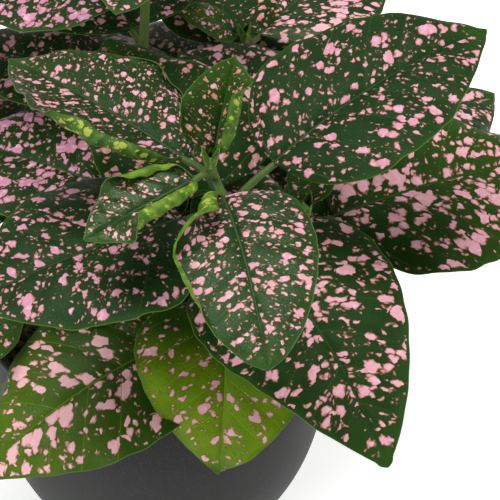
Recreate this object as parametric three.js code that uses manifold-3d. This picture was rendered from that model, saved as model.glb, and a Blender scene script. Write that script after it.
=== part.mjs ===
// A potted polka dot plant (Hypoestes phyllostachya): a round plastic planter, its potting soil, and nine
// leafy shoots that stand in holes in the soil. Each shoot is one node: a stem with opposite pairs of
// stalked, egg-shaped leaves, each pair turned about a quarter from the pair below it.
//
// Millimetres, +Z up. The origin is the centre of the flat base, on the surface the planter stands on.
// Directions in plan are in degrees from +X towards +Y; pitches are in degrees above the horizontal.

import * as THREE from 'three';
import { mergeVertices } from 'three/addons/utils/BufferGeometryUtils.js';
import Module from 'manifold-3d';

const wasm = await Module();
wasm.setup();

// ---------------------------------------------------------------- driving dimensions

// The planter's outer wall as radii at heights: it swells from a small flat base to its widest place near
// the rim and draws in a little at the lip.
const PLANTER = {
  wall: [[29, 0], [33, 3], [38.5, 9], [45.4, 20.8], [49.6, 31.8], [52.4, 44], [54.3, 59], [55, 71],
    [54.4, 83]],
  rim: { height: 92, radius: 53.4 },
  thickness: 3,
  floor: 5,
  sides: 44,
};

const SOIL = { edge: 81, dome: 4, gap: 0.3, sides: 26, rings: 4 };

const STEM = { root: 24, radius: 1.8, sides: 7, steps: 8, gap: 0.35 };

const BLADE = { thickness: 0.7, petioleRadius: 0.9, petioleSides: 4, petioleSteps: 3, keel: 0.1 };

// Rows along a blade, as shares of its length, and columns across one half, as shares of the half width.
const ROWS = [0, 0.07, 0.26, 0.52, 0.8, 1];
const COLUMNS = [0, 0.6, 1];
const CURLED_ROWS = [0, 0.06, 0.2, 0.4, 0.6, 0.8, 1];
const CURLED_COLUMNS = [0, 0.4, 0.7, 0.86, 1];

// ---------------------------------------------------------------- the shoots
// axis: points of the stem from the soil to its tip.
// leaves: [height of the leaf's joint on the stem, direction in plan, stalk length, blade length, blade
// width, pitch at the stem, pitch at the tip, what differs from the plain leaf].

/** A young leaf that fills the crown on the side of its neighbours. */
const young = (height, azimuth) => [height, azimuth, 4, 24, 15, 48, 15];

const SHOOTS = [
  {
    name: 'shoot_front',
    axis: [[20, 6, 86], [22, -4, 108], [24.7, -12.3, 130], [22.9, -22.8, 150], [19.7, -33.3, 170],
      [18.4, -35.5, 177]],
    leaves: [
      [108, 80, 8, 38, 30, 14, -10], young(112, 200),
      [130, -53, 7, 79, 60, 4, -30, { swerve: -14, roll: 6, base: 0.3 }],
      [130, 121, 14, 66, 56, 30, -4, { base: 0.34 }],
      [150, 41, 18, 75, 59, 26, 3, { roll: -1, swerve: -14, fold: 14, tip: 0.85 }],
      [150, 208, 14, 66, 62, 10, -12, { roll: 4 }],
      [171, -75, 10, 58, 39, 16, -22, { roll: 6, swerve: -6, base: 0.35, tip: 0.7,
        curls: [{ side: -1, from: -0.08, to: 0.32, turn: 230 }] }],
      [171, 143, 11, 62, 50, 11, -3, { roll: 0, curls: [
        { side: 1, from: -0.6, to: 1.6, turn: 60, onset: 0 }, { side: 1, from: -0.05, to: 0.66, turn: 150, onset: 0.7 },
        { side: -1, from: -0.2, to: 0.42, turn: -100, onset: 0.4 }] }],
      [175, 72, 5, 26, 23, 58, 40, { fold: 22, curls: [{ side: -1, from: -0.1, to: 0.75, turn: 180 }] }],
      [175, 216, 6, 34, 29, 0, -8, { roll: 0, curls: [
        { side: 1, from: -0.15, to: 0.58, turn: 190, onset: 0.35 },
        { side: -1, from: -0.1, to: 0.62, turn: 190, onset: 0.5 }] }],
    ],
  },
  {
    name: 'shoot_low',
    axis: [[17, -18, 86], [19, -20, 102], [20, -21, 117]],
    leaves: [
      [98, 213, 9, 76, 58, 12, -36], young(97, 33),
      [115, 280, 6, 54, 52, 12, -85, { fold: 14, swerve: -24, base: 0.4 }],
    ],
  },
  {
    name: 'shoot_right',
    axis: [[36, 2, 86], [42, 3, 104], [46, 4, 122]],
    leaves: [
      [102, 288, 6, 44, 34, 6, -22],
      [116, 24, 10, 78, 72, 6, -10], young(116, 202), young(121, 80), [112, 82, 3, 25, 15, 5, -6],
    ],
  },
  {
    name: 'shoot_left',
    axis: [[-34, 0, 86], [-38, 1, 100], [-40, 2, 112]],
    leaves: [
      [97, 189, 12, 62, 44, 0, -24], [106, 226, 10, 56, 46, 0, -26], young(106, 48),
      young(111, 285),
    ],
  },
  {
    name: 'shoot_centre',
    axis: [[-8, 10, 86], [-8, 10, 108], [-9, 11, 128]],
    leaves: [
      [106, 70, 6, 30, 24, 10, -16], [106, 250, 6, 30, 24, 10, -16],
      [123, 156, 8, 56, 50, 10, -10], young(123, 336), young(127, 246), young(127, 66),
    ],
  },
  {
    name: 'shoot_back',
    axis: [[-6, 36, 86], [-5, 48, 116], [-4, 60, 142], [-3, 66, 160], [-3, 68, 168]],
    leaves: [
      [104, 128, 8, 42, 38, 6, -20], young(112, 330), [128, 158, 8, 62, 40, 4, -8],
      [138, 110, 12, 68, 60, 10, -20],
      [158, 172, 5, 76, 58, 8, -12], [158, 30, 8, 40, 30, 10, -20],
      [166, 80, 6, 34, 24, 30, 0], [166, 260, 6, 34, 24, 30, 0], [128, 328, 6, 34, 26, 10, -12],
    ],
  },
  {
    name: 'shoot_back_right',
    axis: [[32, 24, 86], [44, 36, 108], [50, 44, 128]],
    leaves: [
      [97, 86, 6, 46, 36, 6, -16], [103, 345, 5, 48, 38, 6, -18, { base: 0.34 }],
      [110, 29, 14, 60, 56, 10, -12], [119, 58, 10, 50, 38, 12, -8],
      [124, 143, 8, 46, 42, 8, -4], young(124, 323),
    ],
  },
  {
    name: 'shoot_far',
    axis: [[14, 37, 86], [17, 52, 102], [23, 73, 114], [28, 88, 122]],
    leaves: [
      [104, 320, 4, 20, 14, 40, 10], [108, 66, 8, 62, 46, 4, -8],
      [113, 140, 6, 52, 50, 8, -16], [119, 54, 10, 68, 56, 8, -12],
      [118, 105, 6, 50, 42, 16, 4], young(121, 180),
    ],
  },
  {
    name: 'shoot_back_left',
    axis: [[-30, 26, 86], [-38, 36, 104], [-41, 40, 114]],
    leaves: [
      [97, 165, 10, 62, 46, 0, -22], young(97, 345), [108, 125, 12, 64, 46, 6, -18], young(108, 305),
      young(113, 60),
    ],
  },
];

// ---------------------------------------------------------------- small helpers

const DEG = Math.PI / 180;

/** Unit vector that points in a direction of the plan, at a pitch. */
function heading(azimuth, pitch) {
  const flat = Math.cos(pitch * DEG);
  return new THREE.Vector3(
    flat * Math.cos(azimuth * DEG), flat * Math.sin(azimuth * DEG), Math.sin(pitch * DEG));
}

/** A repeatable number from -1 to 1 for a seed. */
function scatter(seed) {
  const value = Math.sin(seed * 127.1) * 4375.85;
  return 2 * (value - Math.floor(value)) - 1;
}

/** A closed three.js geometry as a manifold-3d solid. */
function solidOf(geometry) {
  const bare = geometry.clone();
  bare.deleteAttribute('normal');
  bare.deleteAttribute('uv');
  const merged = mergeVertices(bare, 1e-3);
  return new wasm.Manifold(new wasm.Mesh({
    numProp: 3,
    vertProperties: new Float32Array(merged.attributes.position.array),
    triVerts: new Uint32Array(merged.index.array),
  }));
}

/** A manifold-3d solid as a three.js geometry. */
function geometryOf(solid) {
  const mesh = solid.getMesh();
  const geometry = new THREE.BufferGeometry();
  geometry.setAttribute('position', new THREE.BufferAttribute(mesh.vertProperties, 3));
  geometry.setIndex(new THREE.BufferAttribute(mesh.triVerts, 1));
  geometry.computeVertexNormals();
  return geometry;
}

/** A tube with closed ends along a list of points. */
function tube(points, radius, sides, steps) {
  const ring = new THREE.Shape();
  for (let i = 0; i < sides; i += 1) {
    const angle = (2 * Math.PI * i) / sides;
    ring[i ? 'lineTo' : 'moveTo'](radius * Math.cos(angle), radius * Math.sin(angle));
  }
  return solidOf(new THREE.ExtrudeGeometry(ring, {
    steps, bevelEnabled: false, extrudePath: new THREE.CatmullRomCurve3(points),
  }));
}

// ---------------------------------------------------------------- a leaf

/** Half the blade's width at a share u of its length, as a share of the widest half: broad near the stalk,
 *  drawn out to a blunt point. A smaller base makes the end at the stalk squarer, and a smaller tip makes the
 *  far end fuller. */
function outline(u, base, tip) {
  const shape = (x) => x ** base * (1 - x) ** tip;
  const widest = base / (base + tip);
  return Math.max(shape(u) / shape(widest), u < 0.5 ? 0.05 : 0.03);
}

/** The midrib from the stem: points and frames at arc lengths, in steps small enough to follow the bend. */
function midrib(leaf, lengths) {
  const total = leaf.petiole + leaf.length;
  const steps = 40;
  const stations = [{ s: 0, point: leaf.start.clone() }];
  for (let i = 0; i < steps; i += 1) {
    const share = (i + 0.5) / steps;
    const pitch = leaf.rise + (leaf.end - leaf.rise) * share;
    const azimuth = leaf.azimuth + leaf.swerve * share;
    const last = stations[i];
    stations.push({
      s: (total * (i + 1)) / steps,
      point: last.point.clone().addScaledVector(heading(azimuth, pitch), total / steps),
    });
  }
  return lengths.map((s) => {
    const place = Math.min((s / total) * steps, steps - 1e-9);
    const i = Math.floor(place);
    const point = stations[i].point.clone().lerp(stations[i + 1].point, place - i);
    const share = s / total;
    const pitch = leaf.rise + (leaf.end - leaf.rise) * share;
    const azimuth = leaf.azimuth + leaf.swerve * share;
    const along = heading(azimuth, pitch);
    const across = heading(azimuth + 90, 0).applyAxisAngle(along, leaf.roll * DEG);
    return { point, along, across, up: along.clone().cross(across) };
  });
}

/** The offset from the midrib of a point a share q across one half: the half leaves the midrib folded up by
 *  fold degrees, bows down by bow degrees towards the margin, and beyond the onset of a curl, a share of the
 *  half, its rim rolls up by the curl's turn, or down where that is negative. */
function sectionPoint(leaf, u, side, q, half) {
  const steps = 12;
  let across = 0;
  let up = 0;
  for (let i = 0; i < steps; i += 1) {
    const share = (q * (i + 0.5)) / steps;
    let angle = leaf.fold - leaf.bow * share;
    for (const { side: where, from, to, turn, onset = 0.45 } of leaf.curls) {
      if (where !== side || u <= from || u >= to) continue;
      const swell = Math.sin((Math.PI * (u - from)) / (to - from)) ** 0.7;
      angle += turn * swell * Math.max(0, (share - onset) / (1 - onset)) ** 1.5;
    }
    across += Math.cos(angle * DEG) * (half * q) / steps;
    up += Math.sin(angle * DEG) * (half * q) / steps;
  }
  const wave = leaf.wave * q * q * Math.sin(2 * Math.PI * (leaf.waves * u) + leaf.phase + side);
  return [side * across, up + wave];
}

/** The blade as a closed solid: a grid of points on the midrib's frames, thickened both ways. */
function blade(leaf) {
  const columns = leaf.curls.length ? CURLED_COLUMNS : COLUMNS;
  const stops = leaf.curls.length ? CURLED_ROWS : ROWS;
  const across = [...columns.slice(1).reverse().map((q) => [-1, q]), ...columns.map((q) => [1, q])];
  const frames = midrib(leaf, stops.map((u) => leaf.petiole + u * leaf.length));
  const grid = stops.map((u, i) => {
    const half = (leaf.width / 2) * outline(u, leaf.base, leaf.tip);
    return across.map(([side, q]) => {
      const [y, z] = sectionPoint(leaf, u, side, q, half);
      return frames[i].point.clone().addScaledVector(frames[i].across, y).addScaledVector(frames[i].up, z);
    });
  });
  const rows = grid.length;
  const wide = across.length;
  const positions = [];
  for (const face of [0.5, -0.5]) {
    for (let i = 0; i < rows; i += 1) {
      for (let j = 0; j < wide; j += 1) {
        const lengthwise = grid[Math.min(i + 1, rows - 1)][j].clone().sub(grid[Math.max(i - 1, 0)][j]);
        const crosswise = grid[i][Math.min(j + 1, wide - 1)].clone().sub(grid[i][Math.max(j - 1, 0)]);
        const normal = lengthwise.cross(crosswise).normalize();
        positions.push(...grid[i][j].clone().addScaledVector(normal, face * BLADE.thickness).toArray());
      }
    }
  }
  const top = (i, j) => i * wide + j;
  const under = (i, j) => rows * wide + i * wide + j;
  const faces = [];
  const quad = (a, b, c, d) => faces.push(a, b, c, a, c, d);
  for (let i = 0; i < rows - 1; i += 1) {
    for (let j = 0; j < wide - 1; j += 1) {
      quad(top(i, j), top(i + 1, j), top(i + 1, j + 1), top(i, j + 1));
      faces.push(under(i, j), under(i + 1, j + 1), under(i + 1, j));
      faces.push(under(i, j), under(i, j + 1), under(i + 1, j + 1));
    }
    quad(top(i, 0), under(i, 0), under(i + 1, 0), top(i + 1, 0));
    quad(top(i, wide - 1), top(i + 1, wide - 1), under(i + 1, wide - 1), under(i, wide - 1));
  }
  for (let j = 0; j < wide - 1; j += 1) {
    quad(top(0, j), top(0, j + 1), under(0, j + 1), under(0, j));
    quad(top(rows - 1, j), under(rows - 1, j), under(rows - 1, j + 1), top(rows - 1, j + 1));
  }
  const geometry = new THREE.BufferGeometry();
  geometry.setAttribute('position', new THREE.BufferAttribute(new Float32Array(positions), 3));
  geometry.setIndex(faces);
  return solidOf(geometry);
}

/** The stalk from inside the stem, carried on under the blade as a keel. */
function petiole(leaf) {
  const last = leaf.petiole + BLADE.keel * leaf.length;
  const frames = midrib(leaf, [0, 0.5 * leaf.petiole, leaf.petiole, last]);
  const points = frames.map(({ point, up }, i) => (
    point.clone().addScaledVector(up, i > 1 ? -0.8 * BLADE.petioleRadius : 0)));
  return tube(points, BLADE.petioleRadius, BLADE.petioleSides, BLADE.petioleSteps);
}

// ---------------------------------------------------------------- a shoot

/** The point of a stem at a height. */
function stemAt(stem, height) {
  let low = 0;
  let high = 1;
  for (let i = 0; i < 20; i += 1) {
    const middle = (low + high) / 2;
    if (stem.getPoint(middle).z < height) low = middle;
    else high = middle;
  }
  return stem.getPoint(low);
}

/** The leaves of a shoot: each has its joint on the stem, and the plain leaf's shape where it has no own. */
function leavesOf(shoot, number) {
  const stem = stemOf(shoot);
  return shoot.leaves.map(([height, azimuth, petioleLength, length, width, rise, end, own], i) => {
    const seed = 100 * number + i;
    return {
      start: stemAt(stem, height),
      azimuth,
      petiole: petioleLength,
      length,
      width,
      rise,
      end,
      swerve: 0,
      roll: 6 * scatter(seed + 0.2),
      base: 0.5,
      tip: 0.9,
      fold: 9,
      bow: 22,
      wave: 0.016 * width,
      waves: 2,
      phase: 3 * scatter(seed + 0.3),
      curls: [],
      ...own,
    };
  });
}

/** The line of a shoot's stem. */
function stemOf(shoot) {
  return new THREE.CatmullRomCurve3(shoot.axis.map((p) => new THREE.Vector3(...p)));
}

/** A straight round peg under a stem's first point, larger than the stem by a gap all round. */
function footSolid(shoot, gap, above) {
  const [x, y, z] = shoot.axis[0];
  const radius = STEM.radius + gap;
  const foot = wasm.Manifold.cylinder(STEM.root + gap + above, radius, radius, STEM.sides);
  return foot.translate([x, y, z - STEM.root - gap]);
}

/** The stem with its straight foot in the soil, as a solid. */
function stemSolid(shoot) {
  const above = tube(stemOf(shoot).getPoints(6), STEM.radius, STEM.sides, STEM.steps);
  return footSolid(shoot, 0, 0.5).add(above);
}

/** One shoot as one solid. */
function shootSolid(shoot, number) {
  const pieces = [stemSolid(shoot)];
  for (const leaf of leavesOf(shoot, number)) pieces.push(petiole(leaf), blade(leaf));
  return wasm.Manifold.union(pieces);
}

// ---------------------------------------------------------------- planter and soil

/** The outer radius of the planter at a height, between its given places. */
function wallRadius(height) {
  const places = PLANTER.wall;
  const i = Math.max(1, places.findIndex(([, z]) => z >= height));
  const [[r0, z0], [r1, z1]] = [places[i - 1], places[i]];
  return r0 + ((r1 - r0) * (height - z0)) / (z1 - z0);
}

/** A closed solid of revolution about +Z from [radius, height] pairs that start and end on the axis. */
function turned(profile, sides) {
  const geometry = new THREE.LatheGeometry(profile.map(([r, z]) => new THREE.Vector2(r, z)), sides);
  return solidOf(geometry.rotateX(Math.PI / 2));
}

/** The planter: the outer wall, a rounded lip, the inner wall a thickness inside it, and a floor. */
function planterSolid() {
  const { rim, thickness, floor, sides } = PLANTER;
  const lip = thickness / 2;
  const middle = rim.height - lip;
  const round = [0, 45, 90, 135, 180].map((turn) => [
    rim.radius - lip + lip * Math.cos(turn * DEG), middle + lip * Math.sin(turn * DEG)]);
  const inner = [83, 59, 31.8, 12].map((z) => [wallRadius(z) - thickness, z]);
  return turned([[0, 0], ...PLANTER.wall, ...round, ...inner, [34, floor], [0, floor]], sides);
}

/** The soil: a plug a gap inside the planter with a low dome, and a hole round every stem. */
function soilSolid() {
  const { edge, dome, gap, sides, rings } = SOIL;
  const inset = PLANTER.thickness + gap;
  const wall = [[0, PLANTER.floor + gap], [33, PLANTER.floor + gap],
    ...[12.6, 31.8, 59, edge].map((z) => [wallRadius(z) - inset - 0.3, z])];
  const radius = wall.at(-1)[0];
  const top = [];
  for (let i = rings - 1; i >= 0; i -= 1) {
    const share = i / rings;
    top.push([radius * share, edge + dome * Math.cos((Math.PI / 2) * share)]);
  }
  const plug = turned([...wall, ...top], sides);
  const holes = SHOOTS.map((shoot) => footSolid(shoot, STEM.gap, 10));
  return plug.subtract(wasm.Manifold.union(holes));
}

// ---------------------------------------------------------------- the whole

const plant = new THREE.Group();

/** Adds a solid to the plant as a named mesh. */
function place(name, solid, color, roughness) {
  const mesh = new THREE.Mesh(
    geometryOf(solid), new THREE.MeshStandardMaterial({ color, roughness, metalness: 0 }));
  mesh.name = name;
  plant.add(mesh);
}

place('planter', planterSolid(), 0x46474a, 0.6);
place('soil', soilSolid(), 0x2e221a, 0.95);
SHOOTS.forEach((shoot, number) => place(shoot.name, shootSolid(shoot, number), 0x2f5a2c, 0.5));

export default plant;
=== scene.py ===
# %% [markdown]
# # A potted polka dot plant
# The real thing is a young polka dot plant, *Hypoestes phyllostachya*, in a plain grey plastic planter. Its
# leaves are dark green and spotted with pink, and they stand in pairs on soft stems that branch from the soil.
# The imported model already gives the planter, the soil and nine leafy shoots as plain solids. This notebook
# keeps every piece where its solid is, and gives it the shape and finish that a plain solid lacks.

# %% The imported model
import math

import bpy
import numpy as np
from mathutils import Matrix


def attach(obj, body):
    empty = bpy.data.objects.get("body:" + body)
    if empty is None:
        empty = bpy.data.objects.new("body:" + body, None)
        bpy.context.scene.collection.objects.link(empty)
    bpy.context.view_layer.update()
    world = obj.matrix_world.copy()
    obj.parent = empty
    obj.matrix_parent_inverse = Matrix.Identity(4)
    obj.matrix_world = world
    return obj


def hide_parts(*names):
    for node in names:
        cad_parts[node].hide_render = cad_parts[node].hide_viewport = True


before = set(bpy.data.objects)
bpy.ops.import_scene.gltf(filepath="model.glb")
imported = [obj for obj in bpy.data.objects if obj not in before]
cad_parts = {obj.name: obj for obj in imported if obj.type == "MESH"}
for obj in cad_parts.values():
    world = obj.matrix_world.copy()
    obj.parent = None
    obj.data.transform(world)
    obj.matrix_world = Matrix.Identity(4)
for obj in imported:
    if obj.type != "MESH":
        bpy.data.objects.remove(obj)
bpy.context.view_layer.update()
MM = 0.001
print("solids:", sorted(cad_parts))

# %% [markdown]
# ## Camera, light and floor
# The plant is seen from half way between level and straight down, through a long lens. A long lens keeps the
# near leaves from swelling, and shows the crown as a gardener sees it on a table.
# Small lamps would draw hard white dots on the leaves. Wide lamps and a white sky light it from all round, as
# a light tent does, so that the leaves show their colour and the gaps between them stay dark. The sky lights
# the plant dimly, and only the camera sees it as white.

# %% Camera
lens = bpy.data.cameras.new("camera")
lens.lens, lens.sensor_width = 140, 36
lens.clip_start, lens.clip_end = 0.01, 100
camera = bpy.data.objects.new("camera", lens)
camera.location = (0.029, -0.4134, 0.5238)
camera.rotation_euler = (math.radians(45), 0, 0)
bpy.context.scene.collection.objects.link(camera)
bpy.context.scene.camera = camera
bpy.context.scene.view_settings.view_transform = "Standard"
print("camera at", tuple(camera.location))


# %% Soft lamps and a white sky
def soft_lamp(name, place, target, side, watts):
    """A square lamp of a side in metres at a place, turned so that it shines at the target."""
    data = bpy.data.lights.new(name, "AREA")
    data.size, data.energy = side, watts
    lamp = bpy.data.objects.new(name, data)
    lamp.location = place
    aim = np.subtract(target, place)
    turn = math.atan2(math.hypot(aim[0], aim[1]), -aim[2])
    lamp.rotation_euler = (turn, 0, math.atan2(-aim[0], aim[1]))
    bpy.context.scene.collection.objects.link(lamp)


soft_lamp("lamp_top", (-0.25, 0.25, 1.3), (0, 0, 0.12), 0.9, 20)
soft_lamp("lamp_left", (-0.9, -1.0, 0.8), (0, 0, 0.1), 0.8, 12)
soft_lamp("lamp_right", (1.1, -0.2, 0.8), (0, 0, 0.1), 0.8, 11)
sky = bpy.data.worlds.new("sky")
sky.use_nodes = True
sky.node_tree.nodes["Background"].inputs["Color"].default_value = (1, 1, 1, 1)
seen = sky.node_tree.nodes.new("ShaderNodeLightPath").outputs["Is Camera Ray"]
strength = sky.node_tree.nodes.new("ShaderNodeMapRange")
strength.inputs["To Min"].default_value, strength.inputs["To Max"].default_value = 0.35, 1.0
sky.node_tree.links.new(seen, strength.inputs["Value"])
sky.node_tree.links.new(strength.outputs[0], sky.node_tree.nodes["Background"].inputs["Strength"])
bpy.context.scene.world = sky

# %% [markdown]
# ## Helpers
# Every new piece is worked out as whole arrays of points and then handed to Blender in one go, which is quick
# and keeps the formula in one place. Faces are rows of four corner numbers, and a triangle has -1 in its last
# place. Materials are chains of small nodes, so a few short helpers write them as if they were sums.


# %% Points and faces to a piece that rides on the plant
def piece(name, points, faces, materials, node, slot, face_material=None, maps=None, marks=None):
    """A piece with smooth shading, from points in millimetres. maps are UV maps, one value per face corner, and
    marks are vectors, one per point. It stands for a CAD node, whose solid it hides. slot is not used."""
    keep = faces.ravel() >= 0
    mesh = bpy.data.meshes.new(name)
    mesh.vertices.add(len(points))
    mesh.vertices.foreach_set("co", (points * MM).astype(np.float32).ravel())
    counts = (faces >= 0).sum(1)
    mesh.loops.add(int(counts.sum()))
    mesh.loops.foreach_set("vertex_index", faces.ravel()[keep].astype(np.int32))
    mesh.polygons.add(len(faces))
    mesh.polygons.foreach_set("loop_start", np.concatenate([[0], np.cumsum(counts)[:-1]]).astype(np.int32))
    mesh.polygons.foreach_set("use_smooth", np.ones(len(faces), bool))
    if face_material is not None:
        mesh.polygons.foreach_set("material_index", face_material.astype(np.int32))
    for key, values in (maps or {}).items():
        layer = mesh.uv_layers.new(name=key)
        layer.data.foreach_set("uv", values.reshape(-1, 2)[keep].astype(np.float32).ravel())
    for key, values in (marks or {}).items():
        layer = mesh.attributes.new(key, "FLOAT_VECTOR", "POINT")
        layer.data.foreach_set("vector", values.astype(np.float32).ravel())
    for material in materials:
        mesh.materials.append(material)
    mesh.update(calc_edges=True)
    made = bpy.data.objects.new(name, mesh)
    bpy.context.scene.collection.objects.link(made)
    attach(made, "root")
    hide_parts(node)
    print(f"{name}: {len(points)} points, {int((counts - 2).sum())} triangles")


def grid_faces(rows, columns, closed=False, start=0):
    """Four-cornered faces over a grid of points in row order, and round the back where rows are closed."""
    i, j = np.meshgrid(np.arange(rows - 1), np.arange(columns if closed else columns - 1), indexing="ij")
    k = (j + 1) % columns
    return (start + np.stack([i * columns + j, i * columns + k, (i + 1) * columns + k,
                              (i + 1) * columns + j], -1)).reshape(-1, 4)


def fan_faces(ring, tip, outwards):
    """Triangles from a ring of point numbers to one tip."""
    after = np.roll(ring, -1)
    pair = [ring, after] if outwards else [after, ring]
    return np.stack([*pair, np.full_like(ring, tip), np.full_like(ring, -1)], -1)


# %% Nodes written as sums
def feed(socket, value):
    """Links a socket to a node's output, or sets its plain value."""
    if isinstance(value, bpy.types.NodeSocket):
        socket.id_data.links.new(value, socket)
    else:
        socket.default_value = value


def node(tree, kind, inputs, out=0, **settings):
    """A new node with its settings and inputs; gives one of its outputs."""
    made = tree.nodes.new(kind)
    for key, value in settings.items():
        setattr(made, key, value)
    for key, value in inputs.items():
        feed(made.inputs[key], value)
    return made.outputs[out]


def calc(tree, operation, a, b=0.0):
    """One step of arithmetic."""
    return node(tree, "ShaderNodeMath", {0: a, 1: b}, operation=operation)


def step(tree, value, low, high):
    """0 below low and 1 above high, smooth between them; low above high gives the reverse."""
    flip = isinstance(low, (int, float)) and isinstance(high, (int, float)) and low > high
    inputs = {"Value": value, "From Min": high if flip else low, "From Max": low if flip else high}
    if flip:
        inputs.update({"To Min": 1.0, "To Max": 0.0})
    return node(tree, "ShaderNodeMapRange", inputs, interpolation_type="SMOOTHSTEP")


def blend(tree, share, a, b, how="MIX"):
    """Colour a where share is 0 and colour b where it is 1."""
    made = tree.nodes.new("ShaderNodeMix")
    made.data_type, made.blend_type = "RGBA", how
    for place, value in ((0, share), (6, a), (7, b)):
        feed(made.inputs[place], value)
    return made.outputs[2]


def material(name, **plain):
    """A new material with plain values set on its shader's own sockets; gives it, its tree and its shader."""
    made = bpy.data.materials.new(name)
    made.use_nodes = True
    shader = made.node_tree.nodes["Principled BSDF"]
    for key, value in plain.items():
        shader.inputs[key.replace("_", " ")].default_value = value
    return made, made.node_tree, shader


def times(tree, a, b):
    """a * b."""
    return calc(tree, "MULTIPLY", a, b)


def plus(tree, a, b):
    """a + b."""
    return calc(tree, "ADD", a, b)


def minus(tree, a, b):
    """a - b."""
    return calc(tree, "SUBTRACT", a, b)


def object_place(tree):
    """The point's place on the object, in metres."""
    return node(tree, "ShaderNodeTexCoord", {}, out=3)


def leaf_map(tree, name):
    """The point's place on one of the leaf's own maps."""
    return node(tree, "ShaderNodeUVMap", {}, uv_map=name)


def noise(tree, where, scale, detail=2.0, roughness=0.5, **settings):
    """Cloudy noise from 0 to 1, with about scale clouds to each unit of the place it is read at."""
    inputs = {"Vector": where, "Scale": scale, "Detail": detail, "Roughness": roughness}
    return node(tree, "ShaderNodeTexNoise", inputs, **settings)


def bump(tree, shader, strength, distance, height):
    """Tilts the shader's normal by a height of 0 to 1, which stands for a distance in metres."""
    inputs = {"Strength": strength, "Distance": distance, "Height": height}
    feed(shader.inputs["Normal"], node(tree, "ShaderNodeBump", inputs))


def srgb(red, green, blue):
    """A colour as seen on a screen, 0 to 255, as the linear light that a shader works in."""
    seen = np.array([red, green, blue]) / 255
    light = np.where(seen <= 0.04045, seen / 12.92, ((seen + 0.055) / 1.055) ** 2.4)
    return (*light.tolist(), 1)


# %% Smooth curves and patterns in numpy
def smooth_line(points, samples):
    """The centripetal curve through points: each span is a cubic whose slopes at its ends come from the
    neighbouring points, weighted by the square root of the distances between them."""
    points = np.asarray(points, float)
    ends = np.vstack([2 * points[0] - points[1], points, 2 * points[-1] - points[-2]])
    gap = (np.sum(np.diff(ends, axis=0) ** 2, 1) ** 0.25)[:, None]
    a, b, c, d = ends[:-3], ends[1:-2], ends[2:-1], ends[3:]
    g0, g1, g2 = gap[:-2], gap[1:-1], gap[2:]
    out = ((b - a) / g0 - (c - a) / (g0 + g1) + (c - b) / g1) * g1
    into = ((c - b) / g1 - (d - b) / (g1 + g2) + (d - c) / g2) * g1
    t = np.linspace(0, 1, samples, endpoint=False)[None, :, None]
    b, c, out, into = (x[:, None, :] for x in (b, c, out, into))
    curve = b + out * t + (3 * (c - b) - 2 * out - into) * t**2 + (2 * (b - c) + out + into) * t**3
    return np.vstack([curve.reshape(-1, points.shape[1]), points[-1]])


def soft_noise(x, y, size, seed):
    """Random heights from -1 to 1 on a square lattice of a size, joined by smooth steps."""
    table = np.random.default_rng(seed).uniform(-1, 1, (64, 64))
    x, y = x / size, y / size
    i, j = np.floor(x).astype(int), np.floor(y).astype(int)
    s, t = (x - i) ** 2 * (3 - 2 * (x - i)), (y - j) ** 2 * (3 - 2 * (y - j))
    corner = [[table[(i + a) % 64, (j + b) % 64] for b in (0, 1)] for a in (0, 1)]
    low = corner[0][0] * (1 - t) + corner[0][1] * t
    high = corner[1][0] * (1 - t) + corner[1][1] * t
    return low * (1 - s) + high * s


def unit(vectors):
    """Each vector at length 1."""
    return vectors / np.maximum(np.linalg.norm(vectors, axis=-1, keepdims=True), 1e-12)


# %% [markdown]
# ## The floor
# A plain white board would go grey where the lamps fall off. This one is given painted light: it glows a
# little, as a light table does, though it is no lamp, and more so far from the plant, so that it stays white up
# to the horizon and still takes the plant's soft shadow.

# %% The floor
reach = 4000.0
floor_points = np.array([[-reach, -reach, 0], [reach, -reach, 0], [reach, reach, 0], [-reach, reach, 0]])
floor_mesh = bpy.data.meshes.new("floor")
floor_mesh.from_pydata((floor_points * MM).tolist(), [], [(0, 1, 2, 3)])
floor = bpy.data.objects.new("floor", floor_mesh)
bpy.context.scene.collection.objects.link(floor)
floor_finish, floor_tree, floor_shader = material("pale_floor", Roughness=0.9)
floor_shader.inputs["Base Color"].default_value = (0.88, 0.88, 0.88, 1)
floor_shader.inputs["Emission Color"].default_value = (1, 1, 1, 1)
# Painted light: the floor's glow rises from 0.45 near the plant to 0.76 far off, so it reads white where the
# lamps fall off.
away = node(floor_tree, "ShaderNodeVectorMath", {0: object_place(floor_tree)}, out=1, operation="LENGTH")
painted_floor_glow = {"Value": away, "From Min": 0.5, "From Max": 1.8, "To Min": 0.45, "To Max": 0.76}
feed(floor_shader.inputs["Emission Strength"], node(floor_tree, "ShaderNodeMapRange", painted_floor_glow))
floor_mesh.materials.append(floor_finish)

# %% [markdown]
# ## The planter
# A planter like this is moulded in one piece: a thin wall that swells from a small foot to a wide shoulder
# and draws in at a rounded lip. A lathe could turn it from a drawn profile. Here the profile is a short
# list of radii and heights, smoothed to a curve and carried round the axis as one array. That keeps the
# lip and the wall exact, and makes the inner wall and the recess under the foot at the same time.

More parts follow.
